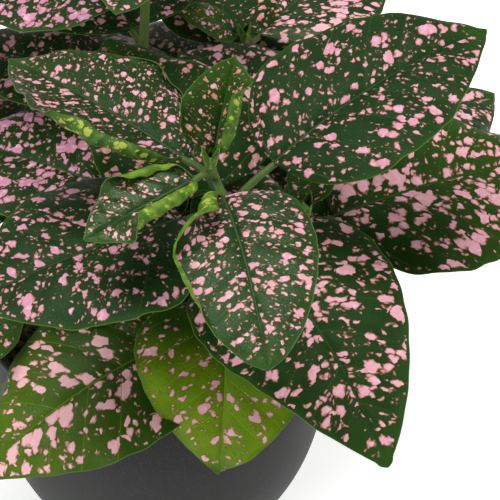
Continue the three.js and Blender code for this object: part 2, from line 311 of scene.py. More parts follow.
# %% Planter profile
WALL = [[29, 0.6], [33, 3], [38.5, 9], [45.4, 20.8], [49.6, 31.8], [52.4, 44], [54.3, 59], [55, 71], [54.4, 83],
        [53.5, 89.5]]
INNER_WALL = [[50.4, 90], [51.3, 83], [52, 71], [51.2, 59], [46.5, 31.8], [38.2, 12], [34, 6], [20, 5]]
FOOT = [[0.4, 0.9], [12, 0.9], [23.4, 0.9], [24, 0.75], [24.4, 0.25], [24.9, 0], [28.1, 0], [28.6, 0.12]]
LIP = {"radius": 53.4, "height": 92, "thickness": 3}
arc = np.radians(np.linspace(0, 180, 13))
half_lip = LIP["thickness"] / 2
lip = np.stack([LIP["radius"] - half_lip + half_lip * np.cos(arc),
                LIP["height"] - half_lip + half_lip * np.sin(arc)], -1)
outside = smooth_line(WALL, 8)
inside = smooth_line(INNER_WALL, 6)
foot = np.array(FOOT)
profile = np.vstack([foot, outside, lip, inside[1:], [[0.4, 5]]])
print("planter profile:", len(profile), "places, widest", profile[:, 0].max(), "mm")


# %% A profile carried round the axis
def turned(profile, sides):
    """Points (r cos a, r sin a, z) for every place (r, z) of the profile and every angle a, with a cap at
    both ends of the profile, where it comes close to the axis."""
    angle = np.linspace(0, 2 * np.pi, sides, endpoint=False)
    radius, height = profile[:, :1], profile[:, 1:]
    ring = np.stack([radius * np.cos(angle), radius * np.sin(angle), height + 0 * angle], -1)
    caps = np.array([[0, 0, profile[0, 1]], [0, 0, profile[-1, 1]]])
    count = len(profile) * sides
    last = np.arange(count - sides, count)
    faces = np.vstack([grid_faces(len(profile), sides, closed=True), fan_faces(np.arange(sides), count, False),
                       fan_faces(last, count + 1, True)])
    return np.vstack([ring.reshape(-1, 3), caps]), faces


# %% [markdown]
# The plastic is through-dyed anthracite with a fine matt grain from the mould. One flat grey would look like
# a drawing, so the roughness drifts a little, a fine grain breaks the gloss, and the lip, which hands rub,
# is a shade lighter.

# %% Planter finish
plastic, tree, shader = material("anthracite_plastic", IOR=1.46, Specular_IOR_Level=0.12)
place = object_place(tree)
drift = noise(tree, place, 38.0, 4.0)
grain = noise(tree, place, 2600.0, 2.0)
height = node(tree, "ShaderNodeSeparateXYZ", {0: place}, out=2)
worn = times(tree, step(tree, height, 0.0895, 0.092), step(tree, drift, 0.35, 0.65))
tone = blend(tree, drift, srgb(24, 25, 24), srgb(30, 31, 29))
tone = blend(tree, times(tree, step(tree, grain, 0.52, 0.75), 0.25), tone, srgb(82, 83, 84))
feed(shader.inputs["Base Color"], blend(tree, times(tree, worn, 0.5), tone, srgb(92, 93, 94)))
feed(shader.inputs["Roughness"], plus(tree, 0.42, times(tree, drift, 0.14)))
bump(tree, shader, 0.35, 0.00005, grain)

# %% Planter piece
PLANTER_SIDES = 160
points, faces = turned(profile, PLANTER_SIDES)
piece("planter_body", points, faces, [plastic], "planter", "planter")

# %% [markdown]
# ## The soil
# Peat-based potting soil settles into a low, lumpy dome with crumbs, bark and white perlite on top. A picture
# of soil on a flat disc would go flat from the side, so the dome is a disc of points raised by three sizes of
# noise, and the crumbs are real lumps scattered over it. The lumps are an eight-sided grain split once and
# knocked out of true, which is enough at a few millimetres.

# %% Soil surface
SOIL = {"edge": 81, "dome": 4, "radius": 50.6, "skirt": 58, "crumbs": 49}


def soil_height(x, y):
    """The dome, edge + dome * cos(quarter turn * share of the radius), plus lumps of 14, 5 and 2 mm."""
    share = np.clip(np.hypot(x, y) / SOIL["radius"], 0, 1)
    lumps = 0.9 * soft_noise(x, y, 14, 1) + 0.6 * soft_noise(x, y, 5, 2) + 0.35 * soft_noise(x, y, 2.1, 3)
    return SOIL["edge"] + SOIL["dome"] * np.cos(np.pi / 2 * share) + lumps


rings, spokes = 46, 140
radius = np.linspace(0.4, SOIL["radius"], rings)[:, None]
angle = np.linspace(0, 2 * np.pi, spokes, endpoint=False)
x, y = radius * np.cos(angle), radius * np.sin(angle)
top = np.stack([x, y, soil_height(x, y)], -1)
low = np.stack([0.98 * x[-1:], 0.98 * y[-1:], np.full((1, spokes), SOIL["skirt"])], -1)
count = (rings + 1) * spokes
points = np.vstack([top.reshape(-1, 3), low.reshape(-1, 3), [[0, 0, soil_height(0, 0)], [0, 0, SOIL["skirt"]]]])
faces = np.vstack([grid_faces(rings + 1, spokes, closed=True)[:, ::-1],
                   fan_faces(np.arange(spokes), count, True),
                   fan_faces(np.arange(count - spokes, count), count + 1, False)])

# %% Soil finish
peat, tree, shader = material("peat", Roughness=0.95)
place = object_place(tree)
clod = noise(tree, place, 210.0, 6.0, roughness=0.7)
fibre = noise(tree, place, 1500.0, 3.0)
tone = blend(tree, step(tree, clod, 0.35, 0.65), srgb(26, 19, 15), srgb(66, 48, 36))
feed(shader.inputs["Base Color"], blend(tree, step(tree, fibre, 0.6, 0.72), tone, srgb(104, 80, 58)))
bump(tree, shader, 0.7, 0.0006, clod)
piece("soil_bed", points, faces, [peat], "soil", "soil")


# %% Crumbs, bark and perlite
def lump():
    """A unit ball of 18 points and 32 triangles: an octahedron whose edges are split and pushed out."""
    corners = np.array([[1, 0, 0], [0, 1, 0], [-1, 0, 0], [0, -1, 0], [0, 0, 1], [0, 0, -1]], float)
    flat = [(0, 1, 4), (1, 2, 4), (2, 3, 4), (3, 0, 4), (1, 0, 5), (2, 1, 5), (3, 2, 5), (0, 3, 5)]
    edges = sorted({tuple(sorted(pair)) for a, b, c in flat for pair in ((a, b), (b, c), (c, a))})
    middle = {pair: 6 + n for n, pair in enumerate(edges)}
    points = np.vstack([corners, unit(np.array([corners[a] + corners[b] for a, b in edges]))])
    faces = []
    for a, b, c in flat:
        ab, bc, ca = (middle[tuple(sorted(pair))] for pair in ((a, b), (b, c), (c, a)))
        faces += [(a, ab, ca, -1), (ab, b, bc, -1), (ca, bc, c, -1), (ab, bc, ca, -1)]
    return points, np.array(faces)


def scattered(count, small, large, flat, seed):
    """Copies of the lump over the soil: each has its own size, turn and dents, and sits half sunk."""
    rng = np.random.default_rng(seed)
    ball, faces = lump()
    size = rng.uniform(small, large, (count, 1, 1)) * rng.uniform(0.6, 1.3, (count, 1, 3)) * [1, 1, flat]
    dented = ball * (1 + rng.uniform(-0.22, 0.22, (count, len(ball), 1))) * size
    turn = rng.uniform(0, 2 * np.pi, count)[:, None]
    c, s = np.cos(turn), np.sin(turn)
    x, y, z = dented[..., 0], dented[..., 1], dented[..., 2]
    away, round_about = SOIL["crumbs"] * np.sqrt(rng.uniform(0, 1, count)), rng.uniform(0, 2 * np.pi, count)
    px, py = away * np.cos(round_about), away * np.sin(round_about)
    pz = soil_height(px, py) + 0.3 * size[:, 0, 2]
    points = np.stack([x * c - y * s + px[:, None], x * s + y * c + py[:, None], z + pz[:, None]], -1)
    shifted = faces[None] + np.where(faces[None] >= 0, len(ball) * np.arange(count)[:, None, None], 0)
    return points.reshape(-1, 3), shifted.reshape(-1, 4)


bark, tree, shader = material("bark_chips", Roughness=0.85)
place = object_place(tree)
layer = noise(tree, place, 330.0, 3.0)
feed(shader.inputs["Base Color"], blend(tree, layer, srgb(50, 33, 22), srgb(112, 80, 54)))
perlite, tree, shader = material("perlite", Roughness=0.8)
place = object_place(tree)
pore = node(tree, "ShaderNodeTexVoronoi", {"Vector": place, "Scale": 1400.0}, out=0)
feed(shader.inputs["Base Color"], blend(tree, pore, srgb(150, 142, 130), srgb(206, 202, 194)))
bump(tree, shader, 0.5, 0.0002, pore)
piece("soil_crumbs", *scattered(900, 0.5, 1.6, 0.8, 4), [peat], "soil", "soil")
piece("soil_bark", *scattered(110, 1.4, 3.4, 0.35, 5), [bark], "soil", "soil")
piece("soil_perlite", *scattered(60, 0.7, 1.7, 0.9, 6), [perlite], "soil", "soil")

# %% [markdown]
# ## The shoots
# Each shoot is a stem with opposite pairs of leaves, every pair turned about a quarter from the one below.
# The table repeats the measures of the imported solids: the points of the stem's line, and for every leaf the
# height of its joint, its direction in plan, the lengths of its stalk and blade, its width, and its pitch at
# the stem and at the tip. The last entry says how a leaf differs from the plain one. `look` names one of the
# leaf colourings below.

# %% Shoot table
def young(height, azimuth):
    """A small leaf that fills the crown on the side of its neighbours."""
    return (height, azimuth, 4, 24, 15, 48, 15, {"look": "young"})


# Leaves deep in the crown take the colouring that is painted shade.
SHOOTS = {
    "front": ([[20, 6, 86], [22, -4, 108], [24.7, -12.3, 130], [22.9, -22.8, 150], [19.7, -33.3, 170],
               [18.4, -35.5, 177]], [
        (108, 80, 8, 38, 30, 14, -10, {}), young(112, 200),
        (130, -53, 7, 79, 60, 4, -30, {"swerve": -14, "roll": 6, "base": 0.3, "look": "blotched"}),
        (130, 121, 14, 66, 56, 30, -4, {"base": 0.34, "look": "painted_shade"}),
        (150, 41, 18, 75, 59, 26, 3, {"roll": -1, "swerve": -14, "fold": 14, "tip": 0.85, "look": "deep"}),
        (150, 208, 14, 66, 62, 10, -12, {"roll": 4, "look": "cool"}),
        (171, -75, 10, 58, 39, 16, -22, {"roll": 6, "swerve": -6, "base": 0.35, "tip": 0.7, "look": "fine",
                                          "curls": [(-1, -0.15, 0.34, 300, 0.25), (-1, 0.2, 0.8, 190, 0.8)]}),
        (171, 143, 11, 62, 50, 11, -3, {"roll": 0, "look": "folded",
                                          "curls": [(1, -0.6, 1.6, 60, 0), (1, -0.05, 0.5, 190, 0.7),
                                                    (-1, -0.2, 0.42, -100, 0.4), (-1, -0.1, 0.6, 230, 0.86)]}),
        (175, 72, 5, 26, 23, 58, 40, {"fold": 22, "look": "fresh",
                                       "curls": [(-1, -0.15, 0.75, 280, 0.35), (1, 0.1, 0.5, 90, 0.6)]}),
        (175, 216, 6, 34, 29, 0, -8, {"roll": 0, "look": "glossy", "pucker": 0.8,
                                       "curls": [(1, -0.15, 0.72, 330, 0.35), (-1, -0.1, 0.62, 280, 0.55)]})]),
    "low": ([[17, -18, 86], [19, -20, 102], [20, -21, 117]], [
        (98, 213, 9, 76, 58, 12, -36, {"look": "broad"}), young(97, 33),
        (115, 280, 6, 54, 52, 12, -85, {"fold": 14, "swerve": -24, "base": 0.4, "look": "lime"})]),
    "right": ([[36, 2, 86], [42, 3, 104], [46, 4, 122]], [
        (102, 288, 6, 44, 34, 6, -22, {}), (116, 24, 10, 78, 72, 6, -10, {"look": "splashed"}),
        young(116, 202), young(121, 80), (112, 82, 3, 25, 15, 5, -6, {"look": "painted_shade"})]),
    "left": ([[-34, 0, 86], [-38, 1, 100], [-40, 2, 112]], [
        (97, 189, 12, 62, 44, 0, -24, {"look": "broad"}), (106, 226, 10, 56, 46, 0, -26, {"look": "olive"}),
        young(106, 48), young(111, 285)]),
    "centre": ([[-8, 10, 86], [-8, 10, 108], [-9, 11, 128]], [
        (106, 70, 6, 30, 24, 10, -16, {}), (106, 250, 6, 30, 24, 10, -16, {}),
        (123, 156, 8, 56, 50, 10, -10, {"look": "lilac"}), young(123, 336), young(127, 246), young(127, 66)]),
    "back": ([[-6, 36, 86], [-5, 48, 116], [-4, 60, 142], [-3, 66, 160], [-3, 68, 168]], [
        (104, 128, 8, 42, 38, 6, -20, {"look": "lilac"}), young(112, 330),
        (128, 158, 8, 62, 40, 4, -8, {"look": "cool"}),
        (138, 110, 12, 68, 60, 10, -20, {"look": "cool"}), (158, 172, 5, 76, 58, 8, -12, {"look": "lilac"}),
        (158, 30, 8, 40, 30, 10, -20, {}), (166, 80, 6, 34, 24, 30, 0, {"look": "fine"}),
        (166, 260, 6, 34, 24, 30, 0, {"look": "fine"}), (128, 328, 6, 34, 26, 10, -12, {})]),
    "back_right": ([[32, 24, 86], [44, 36, 108], [50, 44, 128]], [
        (97, 86, 6, 46, 36, 6, -16, {}), (103, 345, 5, 48, 38, 6, -18, {"base": 0.34, "look": "painted_shade"}),
        (110, 29, 14, 60, 56, 10, -12, {"look": "pale"}), (119, 58, 10, 50, 38, 12, -8, {"look": "deep"}),
        (124, 143, 8, 46, 42, 8, -4, {"look": "pale"}), young(124, 323)]),
    "far": ([[14, 37, 86], [17, 52, 102], [23, 73, 114], [28, 88, 122]], [
        (104, 320, 4, 20, 14, 40, 10, {"look": "young"}), (108, 66, 8, 62, 46, 4, -8, {"look": "painted_shade"}),
        (113, 140, 6, 52, 50, 8, -16, {"look": "pale"}), (119, 54, 10, 68, 56, 8, -12, {"look": "pale"}),
        (118, 105, 6, 50, 42, 16, 4, {"look": "painted_shade"}), young(121, 180)]),
    "back_left": ([[-30, 26, 86], [-38, 36, 104], [-41, 40, 114]], [
        (97, 165, 10, 62, 46, 0, -22, {"look": "broad"}), young(97, 345),
        (108, 125, 12, 64, 46, 6, -18, {"look": "blotched"}), young(108, 305), young(113, 60)]),
}
print(len(SHOOTS), "shoots,", sum(len(leaves) for _, leaves in SHOOTS.values()), "leaves")

# %% [markdown]
# ### Leaf colourings
# No two leaves of a real plant are coloured alike: young ones are yellow-green with fine dots, old ones deep
# green with large blotches, and leaves in the shade turn lilac. One colouring is painted shade: a duller green
# with tan spots and no gloss, for leaves that lie in shade deep in the crown. The lime colouring is the old
# leaf's own yellow-green and partly painted light shining through the thin leaf. Each colouring is six numbers:
# how lime the green is, how much of the blade the spots cover, how large they are, how far their pink leans
# from salmon to lilac, how pale they are, and how glossy the leaf is.

# %% Colourings
LOOKS = {
    "plain": (0.18, 0.33, 1.0, 0.45, 0.1, 0.1), "deep": (0.08, 0.33, 1.1, 0.54, 0.1, 0.05),
    "fine": (0.16, 0.38, 0.78, 0.38, 0.2, 0.45), "cool": (0.0, 0.35, 1.0, 0.62, 0.1, 0.15),
    # The second colouring on the next line is painted shade: a duller green with tan spots and no gloss.
    "blotched": (0.16, 0.44, 1.4, 0.5, 0.5, 0.1), "painted_shade": (0.12, 0.27, 0.95, 0.2, 0.0, 0.0),
    "fresh": (0.3, 0.26, 0.6, 0.0, 0.0, 0.0), "glossy": (0.2, 0.26, 0.56, 0.3, 0.3, 0.65),
    # The second colouring on the next line, lime, is the leaf's own yellow-green and partly painted light
    # shining through the thin leaf.
    "broad": (0.76, 0.40, 1.45, 0.4, 1.0, 0.4), "lime": (1.15, 0.31, 1.2, 0.35, 0.4, 0.1),
    "splashed": (0.36, 0.45, 1.45, 0.45, 0.6, 0.0), "olive": (0.5, 0.34, 1.0, 0.25, 0.1, 0.1),
    "lilac": (0.05, 0.5, 1.1, 0.74, 0.1, 0.1), "pale": (0.1, 0.46, 1.15, 0.6, 0.7, 0.6),
    "young": (0.5, 0.28, 0.6, 0.35, 0.1, 0.1), "folded": (0.14, 0.34, 0.76, 0.4, 0.2, 0.2),
}

# %% [markdown]
# ### The shape of a leaf
# A leaf could be a flat card with a cut-out picture, but these leaves are close to the eye, and their folded
# halves, sunken ribs and rolled margins catch the light. So a blade is a surface of two parameters: u along
# the midrib and q from the midrib to the margin. The midrib is an arc, the outline gives the half width at u,
# the cross section is an arc too, and the blade puffs up between its side ribs like a quilt. The surface
# then gets a thickness, so that it is a closed thin shell with a rounded margin.


# %% Midrib and outline
def heading(azimuth, pitch):
    """The unit vector (cos pitch cos azimuth, cos pitch sin azimuth, sin pitch), angles in degrees."""
    a, p = np.radians(azimuth), np.radians(pitch)
    return np.stack([np.cos(p) * np.cos(a), np.cos(p) * np.sin(a), np.sin(p) + 0 * a], -1)


def midrib(leaf, s):
    """Points and frames at arc lengths s from the stem: pitch and direction change evenly along the line, the
    points are the running sum of its headings, and the frame is turned about the line by the leaf's roll."""
    total, steps = leaf["petiole"] + leaf["length"], 240
    turn = lambda share: heading(leaf["azimuth"] + leaf["swerve"] * share,
                                 leaf["rise"] + (leaf["end"] - leaf["rise"]) * share)
    run = np.cumsum(turn((np.arange(steps) + 0.5) / steps), 0) * total / steps
    run = np.vstack([np.zeros(3), run]) + leaf["start"]
    place = np.linspace(0, total, steps + 1)
    point = np.stack([np.interp(s, place, run[:, k]) for k in range(3)], -1)
    along = turn(s / total)
    level = heading(leaf["azimuth"] + leaf["swerve"] * s / total + 90, 0 * s)
    roll = np.radians(leaf["roll"])
    across = np.cos(roll) * level + np.sin(roll) * np.cross(along, level)
    return point, along, across, np.cross(along, across)


def outline(u, base, tip, length):
    """The half width as a share of the widest half: u^base * (1 - u)^tip, broad near the stalk and drawn out to
    a point, whose last 3 mm is rounded as a circle is. A least width keeps both ends of the blade whole."""
    widest = base / (base + tip)
    shape = u**base * (1 - u) ** tip / (widest**base * (1 - widest) ** tip)
    shape = np.maximum(shape, np.where(u < 0.5, 0.045, 0.08))
    end = np.clip((u - 1) * length / 3 + 1, 0, 1)
    return shape * np.sqrt(1 - 0.985 * end**2)


# %% Cross section
def section(leaf, u, side, q, half):
    """Offsets across and up of the points at shares q of one half. The half leaves the midrib at the fold angle
    and bows down towards the margin, so the offsets are running sums of the cosine and sine of its angle. A
    curl adds a turn beyond its onset, a share of the half, where u is between the curl's ends; the turn swells
    to the curl's middle and goes up and down a little on the way."""
    steps = 80
    share = (np.arange(steps) + 0.5) / steps * np.ones((len(u), 1))
    angle = leaf["fold"] - leaf["bow"] * share
    for where, start, stop, turn, onset in leaf["curls"]:
        if where == side:
            swell = np.sin(np.pi * np.clip((u - start) / (stop - start), 0, 1)) ** 0.7
            swell = swell * (1 + 0.06 * np.sin(2 * np.pi * 6.7 * u + leaf["phase"]))
            angle = angle + turn * swell[:, None] * np.maximum(0, (share - onset) / (1 - onset)) ** 1.2
    angle = np.radians(angle)
    sums = [np.hstack([np.zeros((len(u), 1)), np.cumsum(f(angle), 1)]) / steps for f in (np.cos, np.sin)]
    place = q * steps
    low = np.minimum(place.astype(int), steps - 1)
    across, up = (half[:, None] * (t[:, low] + (t[:, low + 1] - t[:, low]) * (place - low)) for t in sums)
    wave = leaf["wave"] * np.sin(2 * np.pi * leaf["waves"] * u + leaf["phase"] + side)[:, None] * q**2
    ripple = 0.006 * leaf["width"] * np.sin(2 * np.pi * 5.3 * u + 2 * leaf["phase"] - side)[:, None] * q**4
    return side * across, up + wave + ripple


# %% The blade as a closed shell
RIB_GAPS = 6.6
MAP_TURN = np.radians(31)
BLADE = {"middle": 0.5, "thinner": 0.28, "crease": 0.36, "keel": 0.75, "side_keel": 0.14, "crumple": 0.22}


def rib_place(leaf, x, y):
    """Where a point lies among the side ribs, which leave the midrib steeply near the stalk and slant more
    towards the tip: x - (0.35 + 0.6 share) |y| along the midrib. The spots lie on a map of their own, the
    plane of x and |y| turned by 31 degrees, so that its first number runs square to the middle ribs."""
    rib = x - (0.35 + 0.6 * x / leaf["length"]) * np.abs(y)
    c, s = np.cos(MAP_TURN), np.sin(MAP_TURN)
    return rib, c * x - s * np.abs(y), s * x + c * np.abs(y)


def ends_closer(t):
    """Shares that crowd a little at 0 and 1."""
    return 0.6 * t + 0.4 * (1 - np.cos(np.pi * t)) / 2


def blade(leaf, pitch):
    """The blade's points, faces, maps and marks, with a grid of about the pitch in millimetres."""
    rows = max(26, int(leaf["length"] / pitch))
    columns = max(13, int(leaf["width"] / 2 / pitch))
    u = ends_closer(np.linspace(0, 1, rows + 1))
    inner = np.linspace(0, 1, columns)[1:-1]
    q = np.concatenate([[0], [0.35 / leaf["width"], 0.9 / leaf["width"]] * np.array([2, 2]),
                        inner[inner > 2.6 / leaf["width"]], [1 - 0.5 / leaf["width"], 1]])
    half = leaf["width"] / 2 * outline(u, leaf["base"], leaf["tip"], leaf["length"])
    half = half * (1 + 0.006 * np.sin(2 * np.pi * 9 * u + leaf["phase"]))
    left, right = (section(leaf, u, side, q, half) for side in (-1, 1))
    y, z = (np.hstack([a[:, :0:-1], b]) for a, b in zip(left, right))
    way = np.concatenate([-q[:0:-1], q])
    x_flat = u[:, None] * leaf["length"] + 0 * way
    y_flat = half[:, None] * way
    gap = leaf["length"] / RIB_GAPS
    rib, v, w = rib_place(leaf, x_flat, y_flat)
    fade = (np.clip(np.abs(way) / 0.12, 0, 1) * np.clip((1 - np.abs(way)) / 0.35, 0, 1)
            * np.clip((1 - u) / 0.2, 0, 1)[:, None])
    quilt = leaf["pucker"] * (1 - np.abs(np.cos(np.pi * rib / gap)) ** 5) * fade
    crease = np.exp(-(y_flat / 0.6) ** 2) * (1 - 0.75 * u)[:, None]
    crumple = BLADE["crumple"] * soft_noise(x_flat + 31 * leaf["number"], y_flat, 6.5, 7)
    crumple = crumple * np.clip(np.abs(way) / 0.3, 0, 1)
    point, _, across, up = (a[:, None, :] for a in midrib(leaf, leaf["petiole"] + u * leaf["length"]))
    middle = point + across * y[..., None] + up * (z + quilt + crumple)[..., None]
    normal = unit(np.cross(np.gradient(middle, axis=0), np.gradient(middle, axis=1)))
    thick = BLADE["middle"] - BLADE["thinner"] * np.abs(way) ** 3
    keel = BLADE["keel"] * np.exp(-(y_flat / 0.85) ** 2) * (1 - 0.85 * u)[:, None]
    keel = keel + BLADE["side_keel"] * np.abs(np.cos(np.pi * rib / gap)) ** 16 * fade
    top = middle + normal * (thick / 2 - BLADE["crease"] * crease)[..., None]
    under = middle - normal * (thick / 2 + keel)[..., None]
    return shell(leaf, top, under, x_flat, y_flat, half, rib / gap, v, w)


def shell(leaf, top, under, x, y, half, rib, v, w):
    """Joins the upper and lower grid round the margin by way of a ring of points half a thickness outside
    it."""
    rows, wide = x.shape
    number = np.arange(rows * wide).reshape(rows, wide)
    ring = np.concatenate([number[0], number[1:, -1], number[-1, -2::-1], number[-2:0:-1, 0]])
    inner = np.concatenate([number[1], number[1:, -2], number[-2, -2::-1], number[-2:0:-1, 1]])
    flat_top, flat_under = top.reshape(-1, 3), under.reshape(-1, 3)
    middle = (flat_top + flat_under) / 2
    rim = middle[ring] + 0.12 * unit(middle[ring] - middle[inner])
    size, count = rows * wide, len(ring)
    place = 2 * size + np.arange(count)
    after = np.roll(np.arange(count), -1)
    upper = grid_faces(rows, wide)[:, ::-1]
    lower = grid_faces(rows, wide, start=size)
    edge = np.vstack([np.stack([ring, ring[after], place[after], place], -1),
                      np.stack([place, place[after], size + ring[after], size + ring], -1)])
    faces = np.vstack([upper, lower, edge])
    gather = lambda a: np.concatenate([a.ravel(), a.ravel(), a.ravel()[ring]])
    x, y, v, w, rib = (gather(a) for a in (x, y, v, w, rib))
    half_width = gather(half[:, None] + 0 * number)[: 2 * size]
    margin = np.concatenate([half_width, np.abs(y[2 * size:])]) - np.abs(y)
    side = np.sign(y[faces].mean(1))[:, None]
    corner_v, corner_w = v[faces], w[faces]
    shift = 37.0 * leaf["number"]
    lime, cover, size_of_spots, hue, pale, gloss = LOOKS[leaf["look"]]
    fill = lambda *values: np.tile(values, (len(x), 1))
    return {
        "points": np.vstack([flat_top, flat_under, rim]), "faces": faces,
        "kind": np.repeat([0, 1, 0], [len(upper), len(lower), len(edge)]),
        "spots": np.stack([corner_v + shift, corner_w + 53 * side], -1),
        "ribs": np.stack([rib[faces], y[faces] / leaf["width"]], -1),
        "blade": np.stack([x / leaf["length"], np.abs(y), margin], -1),
        "look": fill(lime, cover, size_of_spots), "tint": fill(hue, pale, gloss),
    }


# %% [markdown]
# ### Stalks and stems
# Stems and stalks are soft green rods. A curve with a bevel would draw them, but the stem swells where leaves
# join it and a stalk has a channel on top, so both are tubes with a radius that changes along and around
# them. The tube's ends close on a point, so that no open ring shows.


# %% Tubes
def tube(path, side, radius):
    """A closed tube: at every place of the path a ring of points at a radius, in the plane of the side vector
    and of the path's direction crossed with it. radius has a row per place and a column per point."""
    along = unit(np.gradient(path, axis=0))
    side = unit(side - along * np.sum(side * along, -1, keepdims=True))
    up = np.cross(along, side)
    angle = np.linspace(0, 2 * np.pi, radius.shape[1], endpoint=False)
    ring = (path[:, None] + radius[..., None] * (np.cos(angle)[:, None] * side[:, None]
                                                 + np.sin(angle)[:, None] * up[:, None]))
    rows, sides = radius.shape
    count = rows * sides
    tips = np.stack([path[0] - 0.3 * along[0] * radius[0, 0], path[-1] + 0.5 * along[-1] * radius[-1, 0]])
    faces = np.vstack([grid_faces(rows, sides, closed=True), fan_faces(np.arange(sides), count, False),
                       fan_faces(np.arange(count - sides, count), count + 1, True)])
    return np.vstack([ring.reshape(-1, 3), tips]), faces


def stalk(leaf):
    """From inside the stem to a tenth of the blade, sunk under it: the radius shrinks towards the blade and is
    a quarter less along the channel on top."""
    last = leaf["petiole"] + 0.1 * leaf["length"]
    s = np.linspace(0, last, 16)
    point, _, across, up = midrib(leaf, s)
    sink = np.clip((s - 0.6 * leaf["petiole"]) / (0.4 * leaf["petiole"] + 2), 0, 1) * 0.95
    thick = leaf["stout"] * (1.12 - 0.32 * np.sqrt(s / last))
    beyond = (s - leaf["petiole"]) / (last - leaf["petiole"])
    thick = np.where(s > leaf["petiole"], thick * (1 - 0.5 * beyond), thick)
    angle = np.linspace(0, 2 * np.pi, 12, endpoint=False)
    channel = 1 - 0.24 * np.exp(-((angle - np.pi / 2) / 0.5) ** 2)
    return tube(point - up * (sink * leaf["stout"])[:, None], across, thick[:, None] * channel)


STEM_RADIUS = 1.8


def stem(axis, joints):
    """The shoot's stem from under the soil to its tip: a rod of 1.8 mm radius, softly four-sided, thinner near
    the top, and a seventh thicker where a pair of leaves joins it."""
    line = smooth_line([[*axis[0][:2], axis[0][2] - 9], *axis], 14)
    height = line[:, 2:]
    swell = 1 + 0.14 * sum(np.exp(-((height - joint) / 2.0) ** 2) for joint in joints)
    slim = 1 - 0.3 * np.clip((height - axis[0][2]) / 90, 0, 1)
    angle = np.linspace(0, 2 * np.pi, 20, endpoint=False)
    radius = STEM_RADIUS * swell * slim * (1 + 0.05 * np.cos(4 * angle))
    return tube(line, np.tile([1.0, 0, 0], (len(line), 1)), radius)


def hairs(points, faces, count, seed):
    """Fine hairs on a tube: thin three-sided spikes of under a millimetre that stand on the middles of its
    faces and lean up a little."""
    rng = np.random.default_rng(seed)
    four = faces[faces[:, 3] >= 0]
    corners = points[four[rng.integers(0, len(four), count)]]
    out = unit(np.cross(corners[:, 1] - corners[:, 0], corners[:, 3] - corners[:, 0]))
    root = corners.mean(1) - 0.1 * out
    lean = unit(out + rng.uniform(-0.35, 0.35, (count, 3)) + [0, 0, 0.25])
    side = unit(np.cross(out, [0.3, 0.5, 0.8]))
    other = np.cross(out, side)
    turn = 2 * np.pi * np.arange(3)[:, None, None] / 3
    base = root + 0.03 * (np.cos(turn) * side + np.sin(turn) * other)
    tip = root + lean * rng.uniform(0.3, 0.65, (count, 1))
    spikes = np.concatenate([base, tip[None]]).transpose(1, 0, 2).reshape(-1, 3)
    sides = np.array([[0, 1, 3, -1], [1, 2, 3, -1], [2, 0, 3, -1], [0, 2, 1, -1]])
    moved = sides[None] + np.where(sides[None] >= 0, 4 * np.arange(count)[:, None, None], 0)
    return spikes, moved.reshape(-1, 4)


# %% [markdown]
# ### Leaf finish
# The upper face is deep green under a soft gloss, with a paler midrib and side ribs, a narrow green margin
# and a greener tip. Towards the stalk the lime of a leaf fades, partly a young leaf's lime tip and partly
# painted shade on bases that lie under the leaves above. A thin pale green line on the very edge and the rim is
# painted light, as of light shining through the thin margin. The pink lies in spots that keep clear of the
# midrib and the margin and run out along the side ribs. Painted pictures would repeat, so the spots are cells
# of three sizes on the leaf's own rib map: each cell grows a spot of its own random size, and noise bends the
# edges until neighbours merge.


